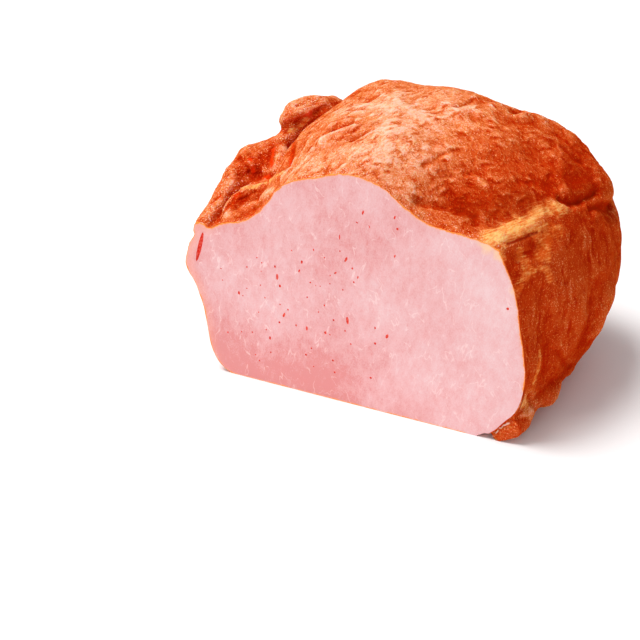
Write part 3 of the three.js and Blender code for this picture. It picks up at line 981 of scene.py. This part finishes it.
# Paler and deeper places of the rind, many of them painted light and shade: how much, how wide in mm, and
# the places along each
TONES = [
    # The top: paler patches, partly painted light and sheen, and a few deeper ones
    (0.38, 20, [(-12, 58, 127), (2, 40, 126), (10, 60, 128)]),
    (0.27, 15, [(-30, 8, 110), (-21, 12, 114), (-4, 12, 118), (6, 14, 118)]),
    (-0.14, 9, [(-32, 34, 118), (-20, 33, 122)]),
    (0.2, 10, [(12, 10, 115), (24, 6, 105)]),
    (0.14, 10, [(-36, 30, 113), (-28, 48, 122)]),
    (0.04, 8, [(26, 18, 110)]),
    (-0.08, 5, [(15, 67, 130), (18, 76, 129)]),
    # The valley over the cut's right half, deeper with painted shade behind its paler front edge, and the
    # right shoulder, whose fat seam is paler, partly with painted light
    (0.1, 6, [(36, 3, 101), (48, 2, 98), (60, 3, 95)]),
    (-0.16, 5, [(42, 14, 102), (48, 18, 102), (38, 20, 105)]),
    (-0.14, 18, [(52, 12, 101), (62, 30, 105)]),
    (-0.14, 26, [(70, 70, 108), (80, 60, 98)]),
    (0.26, 4.6, [
        (57, 4, 94), (61, 8, 95), (65, 12, 96), (68, 17, 97), (70, 22, 98), (73, 32, 100), (77, 40, 100),
    ]),
    # The curled lip, paler on top with painted light, and the folds of the left shoulder, deeper with
    # painted shade in their valleys
    (0.08, 7, [(-60, 58, 117), (-54, 67, 118)]),
    (0.24, 2.6, SHELF_EDGE),
    (-0.06, 2.0, STRAND),
    (-0.2, 3, [(-49, 70, 115), (-47, 51, 114), (-47, 39, 111), (-43, 23, 106)]),
    (-0.32, 6, [(-72, 30, 94), (-66, 34, 96), (-62, 40, 99)]),
    (-0.4, 3, [(-66, 8, 85), (-64, 13, 88)]),
    # Faint streaks and bands down the right side, and the heel's end, paler with painted light
    (0.2, 0.9, [(84, 52, 92), (86, 54, 89), (86, 46, 87), (88, 44, 83), (88, 42, 76)]),
    (0.2, 0.8, [(87, 31, 74), (87, 28, 69), (88, 29, 61)]),
    (0.2, 0.8, [(80, 16, 72), (79, 15, 52)]),
    (0.2, 0.8, [(94, 51, 53), (92, 49, 40)]),
    (0.2, 0.8, [(87, 28, 60), (86, 26, 40)]),
    (0.08, 12, [(86, 30, 70), (88, 34, 56)]),
    (-0.08, 14, [(86, 24, 30), (90, 50, 28)]),
    (0.45, 6, [(79, 3, 22), (79, 12, 15)]),
]

COLOURED = {"fat": FAT, "crease_shade": CREASE_SHADE, "shade_over_cut": SHADE_OVER_CUT, "gristle_and_highlights": GRISTLE_AND_HIGHLIGHTS, "painted_glints": PAINTED_GLINTS}
for name, strokes in COLOURED.items():
    mark(loaf, name, np.max([nearness(spots, line, width) for width, line in strokes], axis=0))
mark(loaf, "tone", sum(amount * nearness(spots, line, width) for amount, width, line in TONES))
facing = normals_of(loaf)
# The sides, facing right, back and low on the left, are a deeper red: partly their own colour, partly
# painted shade
right = ramp(facing[:, 0], 0.3, 0.7) * ramp(spots[:, 0], 55, 70)
back = ramp(facing[:, 1], 0.25, 0.65) * ramp(spots[:, 1], 80, 105)
left_flank = fall(facing[:, 0], -0.6, -0.2) * fall(spots[:, 2], 56, 72)
mark(loaf, "side", np.max([right, back, left_flank], axis=0))

work_on(loaf)
SHARPEST_SMOOTH = math.radians(40)  # the cut's edge is sharper and stays sharp
bpy.ops.object.shade_smooth_by_angle(angle=SHARPEST_SMOOTH)

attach(loaf, "root")
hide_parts("pork_loaf")

# Floor, light and camera

FLOOR_SIZE = 6
bpy.ops.mesh.primitive_plane_add(size=FLOOR_SIZE, location=(0, 0, 0))
floor = bpy.context.object
floor.name = "floor"
floor.data.materials.append(pale_floor())


def soft_light(name, power, width, position):
    """An area light that looks at the loaf, with its power in watts and its width in metres."""
    light = bpy.data.objects.new(name, bpy.data.lights.new(name, "AREA"))
    bpy.context.scene.collection.objects.link(light)
    light.data.energy = power
    light.data.size = width
    light.location = position
    light.rotation_euler = (place(0, 60, 60) - light.location).to_track_quat("-Z", "Y").to_euler()


soft_light("key", 67, 1.2, Vector((-0.95, -0.35, 2.5)))
soft_light("front", 17.5, 2.2, Vector((-0.3, -2.8, 1.2)))

world = bpy.data.worlds.new("studio")
bpy.context.scene.world = world
world.use_nodes = True
world.node_tree.nodes["Background"].inputs["Color"].default_value = (1, 1, 1, 1)
world.node_tree.nodes["Background"].inputs["Strength"].default_value = 0.4

AZIMUTH = math.radians(25)
ELEVATION = math.radians(30)
DISTANCE = 614 * MM
AIM = place(-36.9, 40, 15.5)
backwards = Vector(
    (
        math.sin(AZIMUTH) * math.cos(ELEVATION),
        -math.cos(AZIMUTH) * math.cos(ELEVATION),
        math.sin(ELEVATION),
    )
)
camera = bpy.data.objects.new("camera", bpy.data.cameras.new("camera"))
bpy.context.scene.collection.objects.link(camera)
camera.data.lens = 70
camera.data.sensor_width = 36
camera.location = AIM + backwards * DISTANCE
camera.rotation_euler = (-backwards).to_track_quat("-Z", "Y").to_euler()
bpy.context.scene.camera = camera
bpy.context.scene.view_settings.view_transform = "Standard"
